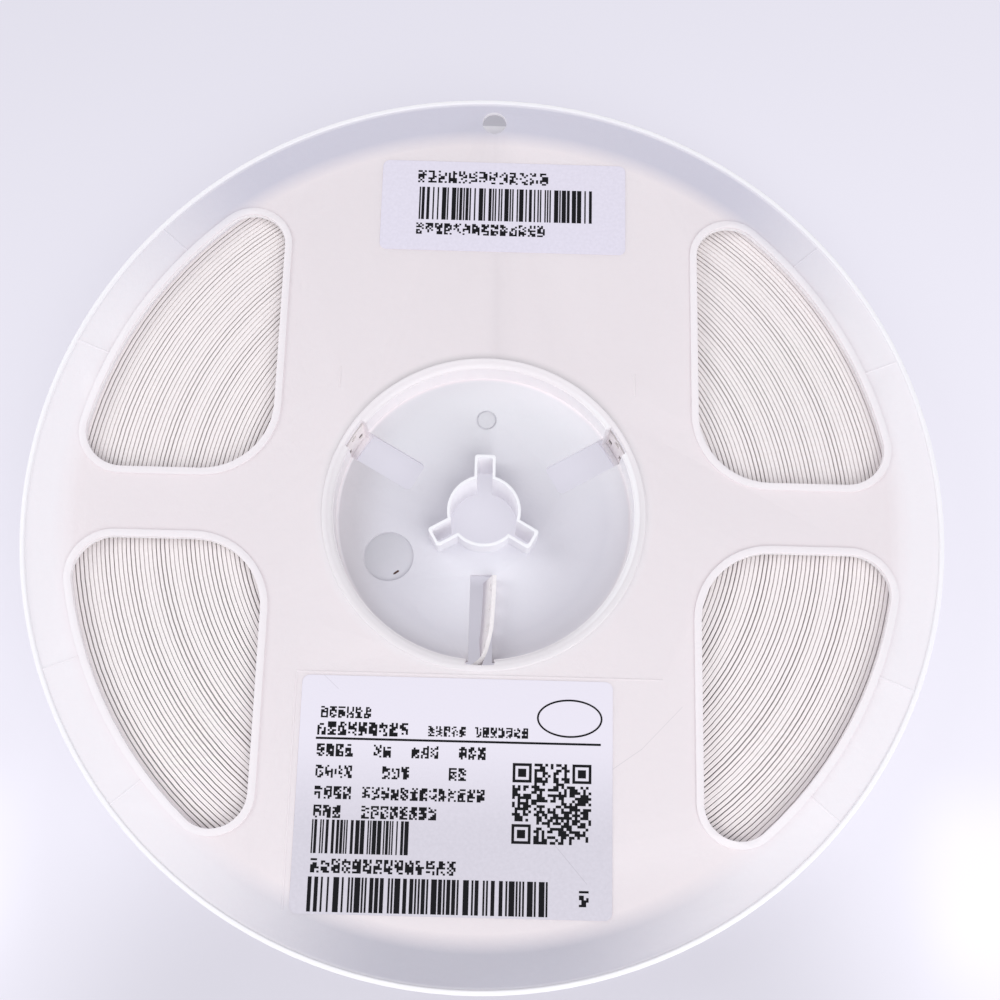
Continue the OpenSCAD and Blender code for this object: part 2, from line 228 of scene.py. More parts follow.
def spiral_roll(inner, pitch, turns, low, high):
    """One closed skin over a spiral of turns: r = inner + pitch * (turn + profile x), z = high - profile depth.

    The profile is TURN_PROFILE. Row i of the grid stands at i / ROLL_STEPS turns; its last profile point is the
    first of the row one turn on. Slowly along the tape, opening varies the grooves' width and wave how high the
    tape's edge stands.
    """
    steps = ROLL_STEPS
    count = turns * steps
    across, depth = np.array(TURN_PROFILE).T
    wide = len(depth)
    rows = np.arange(count + steps + 1)
    angle = ROLL_START - 2 * np.pi * rows / steps
    opening = 1 + 0.35 * np.sin(rows / steps * 5.3 + 1.0) + 0.2 * np.sin(rows / steps * 11.9)
    across = np.where(across[None, :] < 0.3, across[None, :] * opening[:, None], across[None, :])
    radius = inner + pitch * (rows[:, None] / steps + across)
    wave = 0.05 * np.sin(rows / steps * 2.9) + 0.035 * np.sin(rows / steps * 7.1 + 1.0)
    wave += 0.02 * np.sin(rows / steps * 2 * np.pi * 0.37 + 2.0)
    drop = depth[None, :] + (0.09 - wave)[:, None] * 0.5
    x = radius * np.cos(angle)[:, None]
    y = radius * np.sin(angle)[:, None]
    top = np.stack([x, y, high - drop], -1).reshape(-1, 3)
    bottom = np.stack([x, y, low + drop], -1).reshape(-1, 3)
    grid = np.arange(len(top)).reshape(len(rows), wide)
    here = np.concatenate([grid[:count], grid[steps:count + steps, :1]], 1)
    there = np.concatenate([grid[1:count + 1], grid[steps + 1:count + steps + 1, :1]], 1)
    quads = np.stack([here[:, :-1], there[:, :-1], there[:, 1:], here[:, 1:]], -1).reshape(-1, 4)
    under = quads[:, ::-1] + len(top)
    inside = np.stack([grid[:steps, 0], grid[:steps, 0] + len(top),
                       grid[1:steps + 1, 0] + len(top), grid[1:steps + 1, 0]], -1)
    edge = grid[count:count + steps + 1, 0]
    outside = np.stack([edge[:-1], edge[1:], edge[1:] + len(top), edge[:-1] + len(top)], -1)
    first = np.concatenate([grid[0], grid[steps, :1]])
    first_face = np.concatenate([first, first[::-1] + len(top)])
    last = np.concatenate([grid[count], grid[count + steps, :1]])
    last_face = np.concatenate([last[::-1], last + len(top)])
    points = np.concatenate([top, bottom])
    faces = [*quads.tolist(), *under.tolist(), *inside.tolist(), *outside.tolist(),
             first_face.tolist(), last_face.tolist()]
    used = np.unique(np.concatenate([np.ravel(face) for face in (quads, under, inside, outside)]))
    renumber = np.zeros(len(points), int)
    renumber[used] = np.arange(len(used))
    return points[used], [[int(renumber[i]) for i in face] for face in faces]


def hub_lip(top, steps=720):
    """A closed ring: LIP_PROFILE turned round Z, with r held outside SEAM_R where a notch cuts the drum.

    r = max(profile r, limit(angle)); limit is SEAM_R + LIP_CLEARANCE between a notch's two sides and 0 elsewhere.
    """
    turn = np.linspace(0, 2 * np.pi, steps, endpoint=False)
    radius, depth = np.array(LIP_PROFILE).T
    height = top - depth
    limit = np.zeros(steps)
    for middle, half in NOTCHES:
        away = np.abs((turn - math.radians(middle) + np.pi) % (2 * np.pi) - np.pi)
        limit[away * SEAM_R < half] = SEAM_R + LIP_CLEARANCE
    radius = np.maximum(radius[None, :], limit[:, None])
    points = np.stack([radius * np.cos(turn)[:, None], radius * np.sin(turn)[:, None],
                       np.broadcast_to(height, radius.shape)], -1)
    grid = np.arange(points.shape[0] * points.shape[1]).reshape(radius.shape)
    ahead, beside = np.roll(grid, -1, 0), np.roll(grid, -1, 1)
    faces = np.stack([grid, ahead, np.roll(ahead, -1, 1), beside], -1).reshape(-1, 4)
    return points.reshape(-1, 3), faces.tolist()


def strip_sheet(length, width, holes, step, spare=0.15):
    """A flat strip cut to triangles: points on a grid and round each hole's outline, with the holes left open.

    Points of the grid that lie nearer to a hole's bounds than spare are left out.
    """
    across = np.linspace(0, width, 9)
    along = np.linspace(0, length, max(2, int(length / step)) + 1)
    edge = [(s, 0.0) for s in along] + [(length, h) for h in across[1:]]
    edge += [(s, width) for s in along[-2::-1]] + [(0.0, h) for h in across[-2:0:-1]]
    points, loops = list(edge), [list(range(len(edge)))]
    for hole in holes:
        loops.append(list(range(len(points), len(points) + len(hole))))
        points += [tuple(corner) for corner in hole]
    grid = np.stack(np.meshgrid(along[1:-1], across[1:-1]), -1).reshape(-1, 2)
    for hole in holes:
        low, high = np.min(hole, 0) - spare, np.max(hole, 0) + spare
        grid = grid[((grid < low) | (grid > high)).any(1)]
    points += [tuple(corner) for corner in grid]
    lines = [(loop[i - 1], loop[i]) for loop in loops for i in range(len(loop))]
    made, _, faces, *_ = delaunay_2d_cdt([Vector(point) for point in points], lines, [], 1, 1e-6)
    made = np.array([tuple(point) for point in made])
    faces = np.array([face for face in faces if len(face) == 3])
    middle = made[faces].mean(1)
    for hole in holes:
        low, high = np.min(hole, 0), np.max(hole, 0)
        centre, half = (low + high) / 2, (high - low) / 2
        if len(hole) > 4:
            gone = np.hypot(*((middle - centre) / half).T) < 0.999
        else:
            gone = (np.abs(middle - centre) < half).all(1)
        faces, middle = faces[~gone], middle[~gone]
    return made, faces


def thick_strip(flat, faces, place, thickness):
    """Both sides of a bent strip and the walls round its edge and holes: place(s, h, side) gives a point in space."""
    front = place(flat[:, 0], flat[:, 1], thickness / 2)
    back = place(flat[:, 0], flat[:, 1], -thickness / 2)
    sides = np.concatenate([faces[:, [0, 1]], faces[:, [1, 2]], faces[:, [2, 0]]])
    both = {tuple(pair) for pair in sides.tolist()}
    rim = np.array([pair for pair in both if (pair[1], pair[0]) not in both])
    count = len(flat)
    walls = np.stack([rim[:, 1], rim[:, 0], rim[:, 0] + count, rim[:, 1] + count], -1)
    return np.concatenate([front, back]), [*faces.tolist(), *(faces[:, ::-1] + count).tolist(), *walls.tolist()]


def tape_holes(first, last, pockets=True):
    """Outlines of the sprocket holes, one pitch apart, and of the open pockets halfway between them."""
    turn = np.linspace(0, 2 * np.pi, 20, endpoint=False)
    round_hole = np.stack([np.cos(turn), np.sin(turn)], -1) * SPROCKET_R
    pocket = np.array([(-1, -1), (1, -1), (1, 1), (-1, 1)]) * (POCKET_HALF_LENGTH, POCKET_HALF_WIDTH)
    holes = [round_hole + (s, SPROCKET_ROW) for s in np.arange(first, last, SPROCKET_PITCH)]
    if pockets:
        holes += [pocket + (s, POCKET_ROW) for s in np.arange(first + SPROCKET_PITCH / 2, last, SPROCKET_PITCH)]
    return holes


def outward(points, faces):
    """The same faces, all turned over if the closed skin's volume is negative by each face's first three corners."""
    corners = np.array([points[face[:3]] for face in faces])
    volume = np.einsum("ij,ij->i", corners[:, 0], np.cross(corners[:, 1], corners[:, 2])).sum()
    return faces if volume > 0 else [face[::-1] for face in faces]


def boxes(places, low, high):
    """Closed blocks from rows of (left, bottom, right, top), all from height low to height high."""
    left, bottom, right, top = np.asarray(places, float).T
    corners = [(left, bottom), (right, bottom), (right, top), (left, top)]
    points = np.stack([np.stack([x, y, np.full_like(x, z)], -1) for z in (low, high) for x, y in corners], 1)
    block = np.array([(3, 2, 1, 0), (4, 5, 6, 7), (0, 1, 5, 4), (1, 2, 6, 5), (2, 3, 7, 6), (3, 0, 4, 7)])
    faces = block[None] + 8 * np.arange(len(points))[:, None, None]
    return points.reshape(-1, 3), faces.reshape(-1, 4).tolist()


# ---- print ----

def bar_code(draw, left, bottom, right, top, module):
    """Bars and gaps of one to three modules, from left to right, the gaps a little narrower and the bars wider."""
    bar_share, gap_share = 1.05, 0.8
    count = int((right - left) / module / 2)
    widths = draw.choice([1, 1, 2, 3], (count, 2), p=[0.35, 0.2, 0.3, 0.15]) * module * (1.0, gap_share)
    starts = left + np.concatenate([[0], np.cumsum(widths.sum(1))[:-1]])
    keep = starts + widths[:, 0] < right
    starts, bars = starts[keep], widths[keep, 0]
    ends = starts + bars * bar_share
    return np.stack([starts, np.full_like(starts, bottom), ends, np.full_like(starts, top)], -1)


def text_line(draw, left, bottom, right, height, gaps=(), filled=0.62):
    """A line of meaningless marks: blocks of 4 by 7 small cells filled at random, with the gaps left empty.

    A block is 0.82 of its pitch wide, and the pitch is 0.76 of the height.
    """
    pitch = height * 0.76
    starts = left + pitch * np.arange(int((right - left) / pitch))
    for low, high in gaps:
        starts = starts[(starts + pitch * 0.5 < low) | (starts > high)]
    wide, high = pitch * 0.82 / 4, height / 7
    mark, column, row = np.nonzero(draw.random((len(starts), 4, 7)) < filled)
    x = starts[mark] + column * wide
    y = bottom + row * high
    return np.stack([x, y, x + wide, y + high], -1)


def matrix_code(draw, left, bottom, size, cells):
    """A square of light and dark cells drawn at random, so that it says nothing, with three framed corners."""
    cell = size / cells
    dark = draw.random((cells, cells)) < 0.56
    frame_marks = np.zeros((7, 7), bool)
    frame_marks[[0, 6], :] = frame_marks[:, [0, 6]] = True
    frame_marks[2:5, 2:5] = True
    for row, column in ((0, 0), (cells - 7, 0), (cells - 7, cells - 7)):
        dark[max(row - 1, 0):row + 8, max(column - 1, 0):column + 8] = False
        dark[row:row + 7, column:column + 7] = frame_marks
    runs = []
    for row in range(cells):
        change = np.flatnonzero(np.diff(np.concatenate([[0], dark[row].astype(int), [0]])))
        runs += [(left + a * cell, bottom + row * cell, left + b * cell, bottom + (row + 1) * cell)
                 for a, b in zip(change[::2], change[1::2])]
    return np.array(runs)


def oval_line(centre, across, high, weight, low, top, count=48):
    """A thin closed oval ring: points on an outer and an inner ellipse, in a lower and an upper layer.

    Ring k holds the points k * count onwards: 0 lower outer, 1 lower inner, 2 upper outer, 3 upper inner.
    """
    turn = np.linspace(0, 2 * np.pi, count, endpoint=False)
    ring = np.stack([np.cos(turn), np.sin(turn)], -1)
    outer = ring * (across / 2, high / 2) + centre
    inner = ring * (across / 2 - weight, high / 2 - weight) + centre
    layers = [np.column_stack([line, np.full(count, z)]) for z in (low, top) for line in (outer, inner)]
    here = np.arange(count)
    ahead = (here + 1) % count
    walls = [(0, 2), (3, 1), (2, 3), (1, 0)]
    faces = np.concatenate([
        np.stack([here + a * count, ahead + a * count, ahead + b * count, here + b * count], -1) for a, b in walls])
    return np.concatenate(layers), faces.tolist()


# ---- materials ----

class Shader:
    """Short forms for the nodes of one material."""

    def __init__(self, name, colour, roughness):
        self.material = bpy.data.materials.new(name)
        self.material.use_nodes = True
        self.tree = self.material.node_tree
        self.bsdf = self.tree.nodes["Principled BSDF"]
        self.bsdf.inputs["Base Color"].default_value = (*colour, 1)
        self.bsdf.inputs["Roughness"].default_value = roughness

    def node(self, kind, **values):
        made = self.tree.nodes.new(kind)
        for key, value in values.items():
            if hasattr(made, key):
                setattr(made, key, value)
            else:
                made.inputs[key.replace("_", " ")].default_value = value
        return made

    def link(self, source, target):
        self.tree.links.new(source, target)

    def place(self):
        return self.node("ShaderNodeTexCoord").outputs["Object"]

    def axes(self):
        """The place's X, Y and Z."""
        parts = self.node("ShaderNodeSeparateXYZ")
        self.link(self.place(), parts.inputs[0])
        return [parts.outputs[axis] for axis in "XYZ"]

    def maths(self, operation, *values):
        made = self.node("ShaderNodeMath", operation=operation)
        for socket, value in zip(made.inputs, values):
            if isinstance(value, (int, float)):
                socket.default_value = value
            else:
                self.link(value, socket)
        return made.outputs[0]

    def times(self, product, *others):
        """The product of two or more values."""
        for other in others:
            product = self.maths("MULTIPLY", product, other)
        return product

    def turned(self, x, y, cosine, sine):
        """How far x, y reaches along a direction in plan, and how far to its right."""
        return (self.maths("ADD", self.times(x, cosine), self.times(y, sine)),
                self.maths("SUBTRACT", self.times(x, sine), self.times(y, cosine)))

    def distance(self, x, y, from_x, from_y):
        """Distance in plan from an upright line."""
        off_x, off_y = self.maths("SUBTRACT", x, from_x), self.maths("SUBTRACT", y, from_y)
        return self.maths("SQRT", self.maths("ADD", self.times(off_x, off_x), self.times(off_y, off_y)))

    def smooth(self, source, start, end):
        """A smooth rise from 0 at start to 1 at end."""
        made = self.node("ShaderNodeMapRange", interpolation_type="SMOOTHSTEP")
        made.inputs["From Min"].default_value = start
        made.inputs["From Max"].default_value = end
        self.link(source, made.inputs["Value"])
        return made.outputs["Result"]

    def near_line(self, start, end, width):
        """1 on the line in plan from start to end, falling to 0 at its width on both sides and past its ends."""
        x, y, _ = self.axes()
        length = math.hypot(end[0] - start[0], end[1] - start[1])
        off_x, off_y = self.maths("SUBTRACT", x, start[0]), self.maths("SUBTRACT", y, start[1])
        along, across = self.turned(off_x, off_y, (end[0] - start[0]) / length, (end[1] - start[1]) / length)
        past = self.maths("SUBTRACT", self.maths("ABSOLUTE", self.maths("SUBTRACT", along, length / 2)), length / 2)
        return self.smooth(self.maths("MAXIMUM", self.maths("ABSOLUTE", across), past), width, width * 0.3)

    def mix_value(self, share, first, second):
        """One number turning into the other as share goes from 0 to 1."""
        return self.maths("ADD", self.times(share, second), self.times(self.maths("SUBTRACT", 1.0, share), first))

    def mix(self, share, first, second):
        """One colour turning into the other as share goes from 0 to 1."""
        made = self.node("ShaderNodeMix", data_type="RGBA")
        self.link(share, made.inputs["Factor"])
        for socket, value in zip((made.inputs[6], made.inputs[7]), (first, second)):
            if isinstance(value, tuple):
                socket.default_value = (*value, 1)
            else:
                self.link(value, socket)
        return made.outputs[2]

    def ramp(self, source, *stops):
        """Colours by value, from stops of (value, colour)."""
        made = self.node("ShaderNodeValToRGB")
        band = made.color_ramp
        while len(band.elements) < len(stops):
            band.elements.new(0.5)
        for element, (place, colour) in zip(band.elements, stops):
            element.position = place
            element.color = (*colour, 1)
        self.link(source, made.inputs["Fac"])
        return made.outputs["Color"]

    def noise(self, scale, detail=2.0, roughness=0.5):
        made = self.node("ShaderNodeTexNoise")
        made.inputs["Scale"].default_value = scale
        made.inputs["Detail"].default_value = detail
        made.inputs["Roughness"].default_value = roughness
        self.link(self.place(), made.inputs["Vector"])
        return made.outputs["Fac"]

    def inside(self, weight, radius, scale):
        """Lets a share of the light spread inside, as far as the scale times the radius for each colour."""
        for name, value in (("Weight", weight), ("Radius", radius), ("Scale", scale)):
            self.bsdf.inputs["Subsurface " + name].default_value = value

    def bump(self, source, strength, distance):
        """Relief on the surface, from a source of heights."""
        made = self.node("ShaderNodeBump")
        made.inputs["Strength"].default_value = strength
        made.inputs["Distance"].default_value = distance
        self.link(source, made.inputs["Height"])
        self.link(made.outputs["Normal"], self.bsdf.inputs["Normal"])


def scaled(colour, times):
    """A colour so many times as light, up to white."""
    return tuple(min(1.0, part * times) for part in colour)


def plastic_painted_light_bands(shader, over_tape, x, y, radius):
    """The plastic's colour by distance from the axis, in three sets of bands of painted light and shade: near side,
    far side, left and right; the warm tone over the tape is painted in as the tape seen through the plastic.
    """
    share = shader.times(radius, 10.0)
    # The drum wall's colour, and painted light on it on the far side
    wall, painted_lit_wall = (0.85, 0.80, 0.82), (0.95, 0.885, 0.91)
    # The warm tone over the tape is painted in where the wound tape shows through the plastic
    outer = ((0.288, wall), (0.312, wall), (0.33, over_tape), (0.785, over_tape))
    # On the far side: painted light on the drum wall and a painted shadow line just outside the hub's bead
    far_painted_wall_and_shadow = ((0.288, painted_lit_wall), (0.310, painted_lit_wall), (0.315, (0.68, 0.635, 0.65)),
            (0.326, over_tape), (0.785, over_tape))
    # The hub's floor: painted shade on the near side, lighter next to the wall, and painted light on the far side
    near_hub_painted_shade = ((0.0, (0.65, 0.635, 0.685)), (0.24, (0.65, 0.635, 0.685)), (0.284, (0.78, 0.76, 0.80)))
    far_hub_painted_light = ((0.0, (0.68, 0.67, 0.71)), (0.284, (0.765, 0.76, 0.79)))
    # The rim: painted shade at the near and far ends, painted light at the left and right
    near_rim_painted_shade, far_rim_painted_shade, side = (0.50, 0.49, 0.545), (0.60, 0.585, 0.665), (0.87, 0.83, 0.86)
    # A painted highlight on the rim's bead
    painted_bead_highlight = ((0.8815, (0.90, 0.88, 0.90)), (0.90, (0.95, 0.93, 0.95)))
    low = shader.ramp(share, *near_hub_painted_shade, *outer, (0.82, near_rim_painted_shade), (0.877, near_rim_painted_shade), *painted_bead_highlight)
    high = shader.ramp(share, *far_hub_painted_light, *far_painted_wall_and_shadow, (0.82, far_rim_painted_shade), (0.877, far_rim_painted_shade), *painted_bead_highlight)
    sides = shader.ramp(share, *near_hub_painted_shade, *outer, (0.83, side), (0.877, side), *painted_bead_highlight)
    # These painted light and shade bands blend from near to far, then towards the left and right
    ends = shader.mix(shader.smooth(y, -0.004, 0.026), low, high)
    sideways = shader.maths("DIVIDE", shader.maths("ABSOLUTE", x), radius)
    beside = shader.mix_value(shader.smooth(y, 0.03, -0.03), shader.smooth(sideways, 0.55, 0.95),
                              shader.smooth(sideways, 0.15, 0.75))
    return shader.mix(shader.times(beside, shader.smooth(radius, 0.03, 0.035)), ends, sides)


def hub_painted_light(shader, colour, x, y, radius):
    """Painted light in the middle of the hub's floor, painted shade on its left, and painted light on the right part
    of the drum's wall.
    """
    # Painted light in the middle of the hub's floor
    painted_floor_light = shader.smooth(shader.distance(x, y, 0.0005, -0.0095), 0.017, 0.002)
    colour = shader.mix(shader.times(painted_floor_light, 0.7), colour, (0.84, 0.83, 0.885))
    # Painted shade on the left of the hub's floor
    painted_left_shade = shader.times(shader.smooth(x, -0.017, -0.027), shader.smooth(radius, 0.0287, 0.0283))
    colour = shader.mix(shader.times(painted_left_shade, 0.8), colour, (0.60, 0.575, 0.60))
    # Painted light on the right part of the drum's wall
    painted_wall_light = shader.times(shader.smooth(x, 0.012, 0.026), shader.smooth(radius, 0.0287, 0.029),
                            shader.smooth(radius, 0.0302, 0.0300))
    return shader.mix(painted_wall_light, colour, (0.97, 0.935, 0.955))


def collar_painted_light(shader, colour, x, y, z, radius):
    """The arbor collar's painted light: on its outside, on the walls of its bore and key slots, and a painted
    highlight on its crest.
    """
    # Painted light on the collar's outside, above the floor
    outside = shader.times(shader.smooth(z, 0.0066, 0.0082), shader.smooth(radius, *COLLAR_OUTSIDE))
    colour = shader.mix(shader.times(outside, 0.45), colour, (0.88, 0.86, 0.90))
    # Painted light on the walls of the bore and the key slots, below the crest
    walls = shader.smooth(radius, BORE_R + 0.0003, BORE_R + 0.0002)
    for angle in KEY_ANGLES:
        along, across = shader.turned(x, y, math.cos(math.radians(angle)), math.sin(math.radians(angle)))
        key = shader.times(shader.smooth(shader.maths("ABSOLUTE", across), KEY_HALF + 0.0003, KEY_HALF + 0.0002),
                           shader.smooth(along, KEY_END + 0.0003, KEY_END + 0.0002),
                           shader.smooth(along, 0.0, 0.001))
        walls = shader.maths("MAXIMUM", walls, key)
    colour = shader.mix(shader.times(walls, shader.smooth(z, 0.0117, 0.0112)), colour, (0.95, 0.93, 0.96))
    # A painted highlight on the collar's crest
    painted_crest_highlight = shader.times(shader.smooth(z, 0.0112, 0.0117), shader.smooth(radius, *COLLAR_OUTSIDE))
    return shader.mix(painted_crest_highlight, colour, (0.93, 0.92, 0.95))


def marks_and_dimple_shade(shader, colour, x, y):
    """Painted shade in the ejector dimple, and the gate mark, a speck of dirt and two scratches."""
    # The dimple is darkened as painted shade, most towards its upper left; the gate mark is the moulding's own rough
    # ring
    dimple_shade = shader.smooth(shader.distance(x, y, -0.0183, -0.0083), 0.00495, 0.0047)
    painted_slant = shader.smooth(shader.maths("SUBTRACT", y, x), 0.003, 0.017)
    dimple_shade = shader.times(dimple_shade, shader.maths("MULTIPLY_ADD", painted_slant, 0.35, 0.2))
    ragged = shader.maths("MULTIPLY_ADD", shader.noise(2600, 1), 0.0011, -0.00055)
    gate = shader.smooth(shader.maths("ADD", shader.distance(x, y, 0.0001, 0.0203), ragged), 0.0021, 0.0018)
    colour = shader.mix(shader.maths("MAXIMUM", dimple_shade, shader.times(gate, 0.22)), colour, (0.42, 0.42, 0.45))

    along, across = shader.turned(x, y, 0.82, 0.57)
    speck = shader.distance(shader.times(along, 0.33), across, -0.00668, -0.00023)
    speck = shader.maths("ADD", speck, shader.maths("MULTIPLY_ADD", shader.noise(3000, 1), 0.0002, -0.0001))
    colour = shader.mix(shader.smooth(speck, 0.00027, 0.00017), colour, (0.05, 0.02, 0.012))
    for start, end, amount in SCRATCHES:
        colour = shader.mix(shader.times(shader.near_line(start, end, 0.0001), amount), colour, (0.35, 0.34, 0.36))
    return colour


def reel_plastic(settings, name="reel_plastic"):
    """White translucent plastic with light and shade painted into its colour by place: warm over the wound tape, as
    if seen through, cooler past it, with painted light and shade on hub, collar, rim and beads, and a faint grain.
    """
    shader = Shader(name, settings.plastic_colour, 0.36)
    x, y, z = shader.axes()
    radius = shader.distance(x, y, 0.0, 0.0)
    colour = plastic_painted_light_bands(shader, tuple(settings.plastic_colour), x, y, radius)
    colour = hub_painted_light(shader, colour, x, y, radius)
    colour = collar_painted_light(shader, colour, x, y, z, radius)
    colour = marks_and_dimple_shade(shader, colour, x, y)
    on_flange = shader.smooth(radius, 0.033, 0.034)
    # A painted highlight on the beads' crests, and painted light on the plastic below the front flange's top past the
    # hub
    for low, high, amount in ((0.01195, 0.01212, 0.3), (0.01175, 0.0116, 0.8)):
        painted_crest_and_wall_light = shader.times(shader.smooth(z, low, high), on_flange)
        colour = shader.mix(shader.times(painted_crest_and_wall_light, amount), colour, (0.97, 0.955, 0.975))
    shader.link(colour, shader.bsdf.inputs["Base Color"])
    shader.bump(shader.noise(900, 3), 0.12, 0.0004)
    shader.inside(0.2, (1.0, 0.9, 0.9), 0.004)
    return shader.material


def fibres(shader, colour, deep):
    """The paper's faint relief and its mottle, between its colour and one deep times as light."""
    shader.bump(shader.noise(2500, 3), 0.1, 0.0002)
    return shader.ramp(shader.noise(1500, 4, 0.6), (0.3, scaled(colour, deep)), (0.7, colour))


def paper(name, colour, roughness=0.75, crease_shades=(), painted_shade_below=None, painted_light_slope=None, glow=0.0):
    """Plain paper with a fine fibre mottle and lines of painted shade along creases.

    painted_shade_below is a height under which it has painted shade; painted_light_slope is (y, y, times),
    painted light from the one y to the other, lighter by so many times; glow is the share of the light that spreads
    inside the paper.
    """
    shader = Shader(name, colour, roughness)
    tint = fibres(shader, colour, 0.93)
    _, y, z = shader.axes()
    # Painted light: lighter from the one y to the other
    if painted_light_slope is not None:
        start, end, times = painted_light_slope
        tint = shader.mix(shader.smooth(y, start, end), tint, scaled(colour, times))
    # Lines of painted shade along the creases
    for start, end, amount in crease_shades:
        tint = shader.mix(shader.times(shader.near_line(start, end, 0.00009), amount), tint, scaled(colour, 0.5))
    # Painted shade below the given height, with a ragged edge
    if painted_shade_below is not None:
        height = shader.maths("ADD", z, shader.times(shader.noise(1800, 2), 0.0006))
        tint = shader.mix(shader.smooth(height, painted_shade_below + 0.0006, painted_shade_below), tint, scaled(colour, 0.93))
    if glow:
        shader.inside(glow, (1.0, 1.0, 1.0), 0.003)
    shader.link(tint, shader.bsdf.inputs["Base Color"])
    return shader.material


def wound_paper(colour, low, high, outer):
    """The tape's paper between heights low and high, with painted shade down in the grooves between two turns."""
    shader = Shader("tape_paper", colour, 0.75)
    tint = fibres(shader, colour, 0.94)
    x, y, z = shader.axes()
    middle, half = (low + high) / 2, (high - low) / 2
    from_middle = shader.maths("ABSOLUTE", shader.maths("SUBTRACT", z, middle))
    # Painted shade on the surfaces sunk below the tape's edges, in the grooves between turns
    groove_shade = shader.smooth(from_middle, half - 0.00012, half - 0.0005)
    within = shader.smooth(shader.distance(x, y, 0.0, 0.0), outer, outer - 0.0003)
    shader.link(shader.mix(shader.times(groove_shade, within), tint, scaled(colour, 0.72)), shader.bsdf.inputs["Base Color"])
    return shader.material


def floor_glow_and_painted_shade(shader):
    """How strongly the floor glows, with painted light and shade: lighter to the right and the front, painted shade
    under the hub, and painted shadows and painted light in a few patches.
    """
    x, y, _ = shader.axes()
    # A painted slope of light across the floor
    painted_slant = shader.maths("SUBTRACT", shader.times(x, 0.4), y)
    glow = shader.maths("MULTIPLY_ADD", painted_slant, 0.65, 0.74)
    glow = shader.maths("MINIMUM", shader.maths("MAXIMUM", glow, 0.62), 0.84)
    # Painted shade under the hub, where the reel's parts hide the floor
    shade = shader.node("ShaderNodeAmbientOcclusion", samples=8)
    shade.inputs["Distance"].default_value = 0.009
    under_hub = shader.smooth(shader.distance(x, y, 0.0, 0.0), 0.032, 0.029)
    painted_hub_shade = shader.times(under_hub, shader.maths("SUBTRACT", 1.0, shade.outputs["AO"]))
    glow = shader.times(glow, shader.maths("SUBTRACT", 1.0, shader.times(painted_hub_shade, 0.2)))

    # Painted shade under the rim hole, a painted shadow in front of the reel and under the tail, and painted light at
    # the front corners
    painted_rim_hole_shade = shader.smooth(shader.distance(x, y, 0.0, 0.0906), 0.0055, 0.0035)
    painted_front_shadow = shader.smooth(shader.distance(shader.times(x, 0.8), y, 0.0, -0.115), 0.086, 0.045)
    from_axis = shader.maths("ABSOLUTE", x)
    painted_tail_shade = shader.times(
        shader.smooth(from_axis, 0.006, 0.004),
        shader.smooth(shader.maths("ABSOLUTE", shader.maths("ADD", y, 0.022)), 0.012, 0.009))
    painted_corner_light = shader.times(
        shader.smooth(from_axis, 0.078, 0.094),
        shader.smooth(shader.maths("ABSOLUTE", shader.maths("ADD", y, 0.068)), 0.026, 0.006))
    for patch, change in ((painted_rim_hole_shade, -0.5), (painted_front_shadow, -0.31), (painted_tail_shade, -0.22), (painted_corner_light, 0.12)):
        glow = shader.times(glow, shader.maths("MULTIPLY_ADD", patch, change, 1.0))
    return glow


# ---- settings ----

class TapeReelSettings(bpy.types.PropertyGroup):
    """Sizes and colours of the reel."""

    tape_pitch: FloatProperty(
        name="Turn pitch", description="Distance from one turn of the tape to the next",
        default=0.00082, min=0.0005, max=0.0015, unit="LENGTH", precision=5)
    turns: IntProperty(name="Turns", description="Turns of tape on the drum", default=60, min=10, max=62)
    # Its warm tone over the tape is painted in, as the wound tape seen through the plastic
    plastic_colour: FloatVectorProperty(
        name="Plastic", description="Colour of the moulded reel over the tape", subtype="COLOR",
        default=(0.85, 0.775, 0.795), min=0, max=1)
    tape_colour: FloatVectorProperty(
        name="Tape", description="Colour of the paper carrier tape", subtype="COLOR",
        default=(0.93, 0.87, 0.86), min=0, max=1)
    label_colour: FloatVectorProperty(
        name="Lower label", description="Colour of the lower label's paper", subtype="COLOR",
        default=(0.665, 0.635, 0.70), min=0, max=1)
    upper_label_colour: FloatVectorProperty(
        name="Upper label", description="Colour of the upper label's paper", subtype="COLOR",
        default=(0.79, 0.75, 0.85), min=0, max=1)
    floor_colour: FloatVectorProperty(
        name="Floor", description="Colour of the studio floor", subtype="COLOR",
        default=(0.20, 0.195, 0.215), min=0, max=1)


class REEL_OT_mouldings(bpy.types.Operator):
    """Gives the two moulded halves their plastic"""

    bl_idname = "reel.mouldings"
    bl_label = "Mouldings"

    def execute(self, context):
        plastic = reel_plastic(context.scene.tape_reel)
        for name in ("front_half", "back_half"):
            softened(name, plastic)
        points, faces = hub_lip(REEL_TOP / MM)
        lip = reel_plastic(context.scene.tape_reel, "hub_lip_plastic")
        mesh_piece("hub_lip", points, outward(points, faces), lip, crisp=SHARP)
        return {"FINISHED"}


